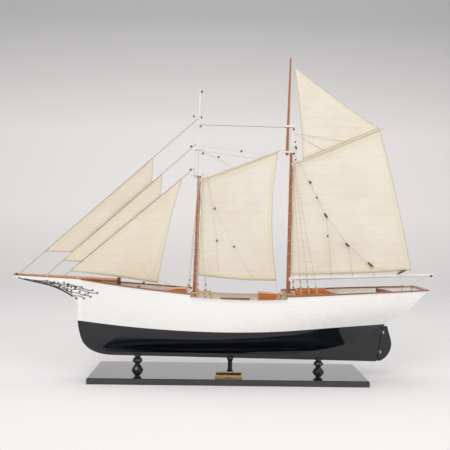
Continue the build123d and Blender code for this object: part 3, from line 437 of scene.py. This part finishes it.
# ------------------------------------------------------------------ sails
def edge_point(a, b, bulge, out, t):
    return a.lerp(b, t) + out * (bulge * 4 * t * (1 - t))


def make_sail(name, node, body, corners, bulges, belly, seed, mat, steps=44):
    """A sail as a cambered sheet. corners: tack, throat, peak, clew (a three-cornered sail
    repeats the head). bulges: how far luff, head, leech and foot curve out. belly: camber."""
    tack, throat, peak, clew = corners
    normal = (throat - tack).cross(clew - tack).normalized()
    if normal.y < 0:
        normal = -normal
    middle = (tack + throat + peak + clew) / 4

    def outward(a, b):
        out = (b - a).cross(normal)
        if out.length < 1e-9:
            return Vector((0, 0, 0))
        out.normalize()
        return out if out.dot(a.lerp(b, 0.5) - middle) > 0 else -out

    edges = [(tack, throat), (throat, peak), (clew, peak), (tack, clew)]
    outs = [outward(a, b) for a, b in edges]
    rng = random.Random(seed)
    phases = [rng.uniform(0, 6.28) for _ in range(6)]
    verts, uvs, faces = [], [], []
    for j in range(steps + 1):
        v = j / steps
        luff = edge_point(tack, throat, bulges[0], outs[0], v)
        leech = edge_point(clew, peak, bulges[2], outs[2], v)
        for i in range(steps + 1):
            u = i / steps
            foot = edge_point(tack, clew, bulges[3], outs[3], u)
            head = edge_point(throat, peak, bulges[1], outs[1], u)
            ruled = luff.lerp(leech, u) + foot.lerp(head, v)
            flat = tack.lerp(clew, u).lerp(throat.lerp(peak, u), v)
            p = ruled - flat
            camber = math.sin(math.pi * u ** 0.8) * math.sin(math.pi * v) ** 0.75
            pull = 0.0
            for k, (cu, cv) in enumerate(((0, 0), (0, 1), (1, 1), (1, 0))):
                far = math.hypot(u - cu, v - cv)
                turn = math.atan2(v - cv, u - cu)
                pull += math.exp(-far * 4.5) * math.sin(turn * 22 + phases[k]) * min(1.0, far * 9)
            ripple = math.sin(u * 19 + v * 3 + phases[4]) * math.sin(math.pi * v)
            depth = belly * camber + 0.0006 * pull + 0.00022 * ripple * math.sin(math.pi * u)
            verts.append(p + normal * depth)
            wide = (clew - tack).length
            tall = (throat - tack).length
            uvs.append((min(u, 1 - u) * wide, min(v, 1 - v) * tall))
    for j in range(steps):
        for i in range(steps):
            a = j * (steps + 1) + i
            faces.append((a, a + 1, a + steps + 2, a + steps + 1))
    obj = mesh_object(name, verts, faces, mat)
    layer = obj.data.uv_layers.new(name="edge")
    for loop in obj.data.loops:
        layer.data[loop.index].uv = uvs[loop.vertex_index]
    bm = bmesh.new()
    bm.from_mesh(obj.data)
    bmesh.ops.remove_doubles(bm, verts=bm.verts, dist=1e-6)
    area = sum(face.calc_area() for face in bm.faces)
    bm.to_mesh(obj.data)
    bm.free()
    thick = obj.modifiers.new("cloth_thickness", "SOLIDIFY")
    thick.thickness = 0.00035
    thick.offset = 0
    rope_parts = []
    for (a, b), out, bulge in zip(edges, outs, bulges):
        if (a - b).length < 1e-6:
            continue
        points = [edge_point(a, b, bulge, out, t / 24) for t in range(25)]
        rope_parts.append(line_tube(points, 0.00042))
    rope = merged(name + "_boltrope", rope_parts, "thread")
    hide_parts(node)
    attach(obj, body)
    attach(rope, body)
    spread = [max(p[i] for p in corners) - min(p[i] for p in corners) for i in (0, 2)]
    return obj, rope, spread, area


foresail = make_sail("foresail_cloth", "foresail", "fore_sail_rig",
                     (mm(-58.4, 0, 193), mm(-54.6, 0, 369.5), mm(88.5, 0, 427.8), mm(89.5, 0, 184.5)),
                     (0, 0.0004, -0.0095, 0.003), 0.0026, 3, "canvas_wide")
mainsail = make_sail("mainsail_cloth", "mainsail", "main_sail_rig",
                     (mm(118.4, 0, 196.5), mm(119.6, 0, 401.5), mm(283.8, 0, 474.6), mm(348.4, 0, 207.7)),
                     (0, 0.0004, 0.003, 0.002), 0.0024, 5, "canvas_wide")
topsail = make_sail("topsail_cloth", "main_topsail", "main_sail_rig",
                    (mm(137, 0, 417), mm(117.5, 0, 594), mm(117.5, 0, 594), mm(281, 0, 479)),
                    (-0.003, 0, -0.003, 0), 0.0018, 8, "canvas_wide")


def on_stay(low, high, share):
    return low.lerp(high, share)


FLYING = (mm(-400, 0, 188.5), mm(-64, 0, 491))
JIB = (mm(-348, 0, 187), mm(-61, 0, 448))
STAYSAIL = (mm(-316, 0, 185), mm(-61, 0, 404))
FLYING_CLEW = (-172, 16, 238)
JIB_CLEW = (-163, 8, 213)
flying_head = on_stay(*FLYING, 0.745)
flying_jib = make_sail("flying_jib_cloth", "flying_jib", "ship",
                       (on_stay(*FLYING, 0.148), flying_head, flying_head, mm(*FLYING_CLEW)),
                       (0, 0, 0.006, 0.003), 0.0025, 11, "canvas_jib")
jib_head = on_stay(*JIB, 0.756)
jib = make_sail("jib_cloth", "jib", "ship",
                (on_stay(*JIB, 0.112), jib_head, jib_head, mm(*JIB_CLEW)),
                (0, 0, 0.006, 0.002), 0.002, 13, "canvas_jib")
stay_head = on_stay(*STAYSAIL, 0.876)
staysail = make_sail("fore_staysail_cloth", "fore_staysail", "ship",
                     (on_stay(*STAYSAIL, 0.055), stay_head, stay_head, mm(-136, 0, 176.5)),
                     (0, 0, -0.004, -0.001), 0.002, 17, "canvas_jib")


# ------------------------------------------------------------------ small rigging pieces
def block_shape(center, way, length=0.0046, radius=0.0015):
    """A rigging block: an egg-shaped shell lying along way."""
    way = way.normalized() * length
    profile = [(0.0, 0.25), (0.12, 0.7), (0.3, 0.96), (0.5, 1.0), (0.7, 0.96), (0.88, 0.7), (1.0, 0.25)]
    return turned_mesh([(t, r * radius) for t, r in profile], center - way / 2, center + way / 2, 12)


def blocks(name, body, places, side=-0.0022):
    """Dark blocks at (x, z, lean, length) places, in millimetres and degrees."""
    parts = []
    for x, z, lean, length in places:
        turn = math.radians(lean)
        way = Vector((math.cos(turn), 0, math.sin(turn)))
        radius = min(BLOCK_R_PER_MM * length, BLOCK_MOST_R)
        parts.append(block_shape(mm(x, 0, z) + Vector((0, side, 0)), way, length * MM, radius))
    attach(merged(name, parts, "block_wood"), body)


UPRIGHT = 90  # degrees of lean
BLOCK_MOST_R = 0.0021
BLOCK_R_PER_MM = 0.00034
BLOCK_LINE_R = 0.0002
MASTHEAD_BLOCKS = [(-58, 541, UPRIGHT, 5.2), (-72.6, 494, UPRIGHT, 4.6), (-58, 492, UPRIGHT, 4.6),
                   (-59, 475, 20, 4.6), (-76.5, 437, 30, 5.0), (-54, 424, UPRIGHT, 4.8), (-77, 393, 30, 5.0),
                   (118, 473, UPRIGHT, 4.5), (122.5, 438, -70, 8.0),
                   (121, 449, UPRIGHT, 4.2), (119, 427, UPRIGHT, 4.5), (122, 415, 70, 4.2)]
FORE_RIG_BLOCKS = [(-24.5, 418, 20, 5.0), (18.8, 430, 70, 5.0), (-30, 320, 60, 5.0), (-25, 259, 75, 4.6),
                   (8, 248, 30, 4.6)]
MAIN_RIG_BLOCKS = [(151, 373, -58, 6.5), (164, 344, -60, 5.0), (182, 310, -55, 12.0),
                   (186, 271, UPRIGHT, 4.6), (224, 255, -40, 11.0), (269, 218, -38, 14.0),
                   (329, 205, 24, 19.0), (386, 198, 40, 6.0)]
blocks("masthead_blocks", "ship", MASTHEAD_BLOCKS, -0.0052)
blocks("fore_rig_blocks", "fore_sail_rig", FORE_RIG_BLOCKS)
blocks("main_rig_blocks", "main_sail_rig", MAIN_RIG_BLOCKS, -0.0042)


def block_lines(name, body, routes, side):
    """Threads that hang blocks from spars or from each other, as (x, z) routes in millimetres."""
    offset = Vector((0, side, 0))
    parts = []
    for route in routes:
        parts.append(line_tube([mm(x, 0, z) + offset for x, z in route], BLOCK_LINE_R, 6))
    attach(merged(name, parts, "thread"), body)


FORE_HALYARDS = [[(-58, 424), (-24.5, 418), (-5, 399)], [(-58, 438), (18.8, 430), (27, 410.5)],
                 [(18.8, 430), (58, 423)]]
FORE_BRAILS = [[(-46, 386), (-30, 320), (8, 248), (44, 190)], [(-44, 372), (-25, 259), (-22, 190)]]
block_lines("fore_halyards", "fore_sail_rig", FORE_HALYARDS, -0.0024)
block_lines("fore_brails", "fore_sail_rig", FORE_BRAILS, -0.0034)


def smooth_route(points, per_run=6):
    """Points along a smooth curve through a few route points (Catmull-Rom)."""
    out = []
    last = len(points) - 1
    for i in range(last):
        before, a, b, after = points[max(i - 1, 0)], points[i], points[i + 1], points[min(i + 2, last)]
        for k in range(per_run):
            t = k / per_run
            out.append(0.5 * (2 * a + (b - before) * t + (2 * before - 5 * a + 4 * b - after) * t ** 2
                              + (3 * a - before - 3 * b + after) * t ** 3))
    out.append(points[-1])
    return out


def head_sheets():
    """Jib sheets that lead down and aft from the clews to the fore rail, one on each side."""
    parts = []
    for side in (-1, 1):
        route = [mm(-165, side * 2.2, 213), mm(-158, side * 6, 199), mm(-146, side * 14, 184),
                 mm(-130, side * 24, 177), mm(-112, side * 34, 171)]
        parts.append(line_tube(smooth_route(route), 0.0003, 6))
    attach(merged("jib_sheets", parts, "thread"), "ship")


def hull_point(x, z, side):
    """The planked surface of the bow at (x, z), or the face of the knee ahead of it."""
    start = mm(x, side * 80, z)
    best = None
    for node in ("topside_planking", "stem_knee"):
        hit, place, _, _ = NODES[node].ray_cast(start, Vector((0, -side, 0)))
        if hit and (best is None or abs(place.y) > abs(best.y)):
            best = place
    if best is None:
        return mm(x, side * 2.5, z)
    return best + Vector((0, side * 0.0002, 0))


def curl(x, z, radius, start, turns, ways=1):
    """A spiral tendril in the side view, as (x, z) points that wind in to the middle."""
    points = []
    steps = 14
    for k in range(steps + 1):
        t = k / steps
        angle = math.radians(start) + ways * 2 * math.pi * turns * t
        r = radius * (1 - 0.8 * t)
        points.append((x + r * math.cos(angle), z + r * math.sin(angle)))
    return points


def bow_scrollwork():
    """Black scrolls on both sides of the knee and bow. stems are routes of (x, z) in millimetres;
    curls are (x, z, radius, start angle, turns, direction)."""
    stems = [
        [(-372, 177.6), (-350, 175.6), (-330, 172), (-312, 168.6), (-297, 168.4), (-289, 165)],
        [(-318, 166.5), (-306, 163.4), (-296, 162), (-286, 162.5), (-276, 160.6), (-262, 157.5), (-248, 157)],
        [(-306, 158.4), (-296, 156.6), (-286, 155), (-276, 151.6), (-268, 152.2), (-262, 149.4)],
        [(-296, 151.6), (-290, 150), (-282, 149.6), (-277, 146.6), (-274, 144.6)],
        [(-294, 148.8), (-290.4, 146.6), (-288.6, 143.4)],
        [(-398, 182.2), (-384, 179.6), (-370, 176.8), (-352, 173.4), (-336, 169.4), (-322, 164.6)],
        [(-388, 181.4), (-374, 179.4), (-358, 177.8), (-344, 177.6), (-334, 175.2)],
        [(-350, 174), (-338, 172.4), (-328, 168.2), (-316, 163.2), (-304, 158.6), (-297, 152.6)],
        [(-340, 174.6), (-326, 173.4), (-314, 171.8), (-302, 171.6), (-292, 169.2), (-280, 167.4)],
        [(-286, 165), (-276, 164.2), (-266, 161.8), (-258, 161.4)],
    ]
    curls = [(-345, 177.4, 1.7, 180, 1.2, -1), (-331, 175.2, 2.0, 200, 1.2, -1),
             (-305, 171.4, 2.4, 160, 1.3, -1), (-307, 160.8, 2.6, 40, 1.3, 1),
             (-291, 166.4, 2.6, 160, 1.3, -1), (-247.5, 158.2, 1.8, 250, 1.2, 1),
             (-272, 152.8, 2.2, 150, 1.3, -1), (-260.5, 150.2, 1.8, 250, 1.2, 1),
             (-274.5, 146, 1.8, 250, 1.2, 1), (-289.5, 145.4, 2.2, 60, 1.2, -1),
             (-283, 157.6, 2.2, 30, 1.3, 1), (-320, 169.4, 2.0, 170, 1.2, -1),
             (-358, 175.6, 1.5, 180, 1.2, -1), (-324, 174.8, 1.8, 190, 1.2, 1),
             (-313, 174.2, 1.8, 170, 1.2, -1), (-299, 166.6, 1.9, 30, 1.2, 1),
             (-312, 164.6, 1.8, 200, 1.2, -1), (-299, 159.4, 1.8, 210, 1.2, 1),
             (-279, 166.2, 1.6, 160, 1.2, -1), (-257, 162.4, 1.5, 250, 1.2, 1),
             (-266, 155.4, 1.6, 20, 1.2, 1)]
    parts = []
    for side in (-1, 1):
        for route in stems:
            spots = smooth_route([Vector((x, 0, z)) for x, z in route], 5)
            parts.append(line_tube([hull_point(p.x, p.z, side) for p in spots], 0.00062, 6))
        for shape in curls:
            spots = [hull_point(x, z, side) for x, z in curl(*shape)]
            parts.append(line_tube(spots, 0.00058, 6))
    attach(merged("bow_scrollwork", parts, "scroll"), "ship")


def rope_hank(center, wide, tall, turns, rng):
    """A hank of line hung on a belaying pin: flattened loops that sag at the bottom."""
    route = []
    steps = 14
    for turn in range(turns):
        stretch = 1 + rng.uniform(-0.1, 0.12)
        out = (turn - (turns - 1) / 2) * 0.0006
        for k in range(steps):
            angle = 2 * math.pi * k / steps + math.pi / 2
            spot = Vector((wide * math.cos(angle) + out * 0.5, out, tall * stretch * (math.sin(angle) - 1)))
            route.append(center + spot)
    return line_tube(route, 0.00032, 6)


PIN_REACH = 0.003
HANK_OUT = 0.0022
HANK_DROP = 0.0028
HANK_R = 0.0017


def rope_hanks():
    """A hank on each belaying pin; vertices nearer than PIN_REACH in plan are one pin."""
    rng = random.Random(21)
    points = [v.co for v in NODES["belaying_pins"].data.vertices]
    pins = []
    for point in points:
        spot = Vector((point.x, point.y, 0))
        if all((spot - other).length > PIN_REACH for other in pins):
            pins.append(spot)
    parts = []
    for spot in pins:
        tops = [q.z for q in points if (Vector((q.x, q.y, 0)) - spot).length < PIN_REACH]
        outward = HANK_OUT if spot.y > 0 else -HANK_OUT
        center = Vector((spot.x, spot.y + outward, max(tops) - HANK_DROP))
        parts.append(rope_hank(center, HANK_R + rng.uniform(0, 0.0004), 0.0032, 4, rng))
    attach(merged("rope_hanks", parts, "rope"), "ship")


head_sheets()
bow_scrollwork()
rope_hanks()


# ------------------------------------------------------------------ floor, light and camera
def studio():
    floor_mat = Shade("studio_floor", (0.80, 0.783, 0.776), 0.75)
    floor_mat.tint((0.77, 0.753, 0.746), floor_mat.span(floor_mat.noise(2.2, 2), 0.4, 0.7, 0.0, 0.25))
    height = floor_mat.axis("Z")
    # painted light: the sweep is lightened from 0.03 to 0.35 m up
    floor_mat.tint((0.93, 0.905, 0.89), floor_mat.span(height, 0.03, 0.35, 0.0, 1.0))
    # painted shade: the sweep is darkened from 0.85 to 1.6 m up
    floor_mat.tint((0.57, 0.565, 0.565), floor_mat.span(height, 0.85, 1.6, 0.0, 1.0))
    MATS["floor"] = floor_mat
    verts, faces = [], []
    profile = [(-3.2, 0.0), (1.4, 0.0)]
    for i in range(1, 13):
        turn = math.pi / 2 * i / 12
        profile.append((1.4 + 1.2 * math.sin(turn), 1.2 - 1.2 * math.cos(turn)))
    profile.append((2.6, 3.2))
    for y, z in profile:
        verts.append(Vector((-4.0, y, z)))
        verts.append(Vector((4.0, y, z)))
    for k in range(len(profile) - 1):
        faces.append((2 * k, 2 * k + 1, 2 * k + 3, 2 * k + 2))
    floor = mesh_object("studio_sweep", verts, faces, "floor")


def area_light(name, place, target, size, power, color=(1, 1, 1)):
    data = bpy.data.lights.new(name, "AREA")
    data.shape = "RECTANGLE"
    data.size, data.size_y = size
    data.energy = power
    data.color = color
    light = bpy.data.objects.new(name, data)
    light.location = place
    light.rotation_mode = "QUATERNION"
    light.rotation_quaternion = (Vector(target) - Vector(place)).to_track_quat("-Z", "Y")
    bpy.context.scene.collection.objects.link(light)


def camera():
    data = bpy.data.cameras.new("photo_camera")
    data.lens = 46.68
    data.sensor_width = 36.0
    cam = bpy.data.objects.new("photo_camera", data)
    yaw, pitch, roll = (math.radians(a) for a in (-1.0956, -0.202, -0.9687))
    turn = Matrix.Rotation(yaw, 3, "Z") @ Matrix.Rotation(pitch, 3, "X") @ Matrix.Rotation(roll, 3, "Y")
    level = Matrix(((1, 0, 0), (0, 0, -1), (0, 1, 0)))
    cam.matrix_world = Matrix.Translation((-0.03125, -1.1123, 0.2929)) @ (turn @ level).to_4x4()
    data.clip_start = 0.01
    data.clip_end = 20
    bpy.context.scene.collection.objects.link(cam)
    bpy.context.scene.camera = cam


studio()
area_light("key_softbox", (-0.9, -1.9, 2.0), (0, 0, 0.2), (1.8, 1.4), 26)
area_light("fill_softbox", (1.6, -1.4, 1.2), (0, 0, 0.2), (1.4, 1.4), 13.5)
area_light("top_softbox", (0, 0.2, 2.3), (0, 0, 0), (2.4, 1.6), 18.5)
world = bpy.data.worlds.new("studio_world")
bpy.context.scene.world = world
world.use_nodes = True
world.node_tree.nodes["Background"].inputs["Color"].default_value = (0.93, 0.93, 0.94, 1)
world.node_tree.nodes["Background"].inputs["Strength"].default_value = 0.58
bpy.context.scene.view_settings.view_transform = "Standard"
camera()
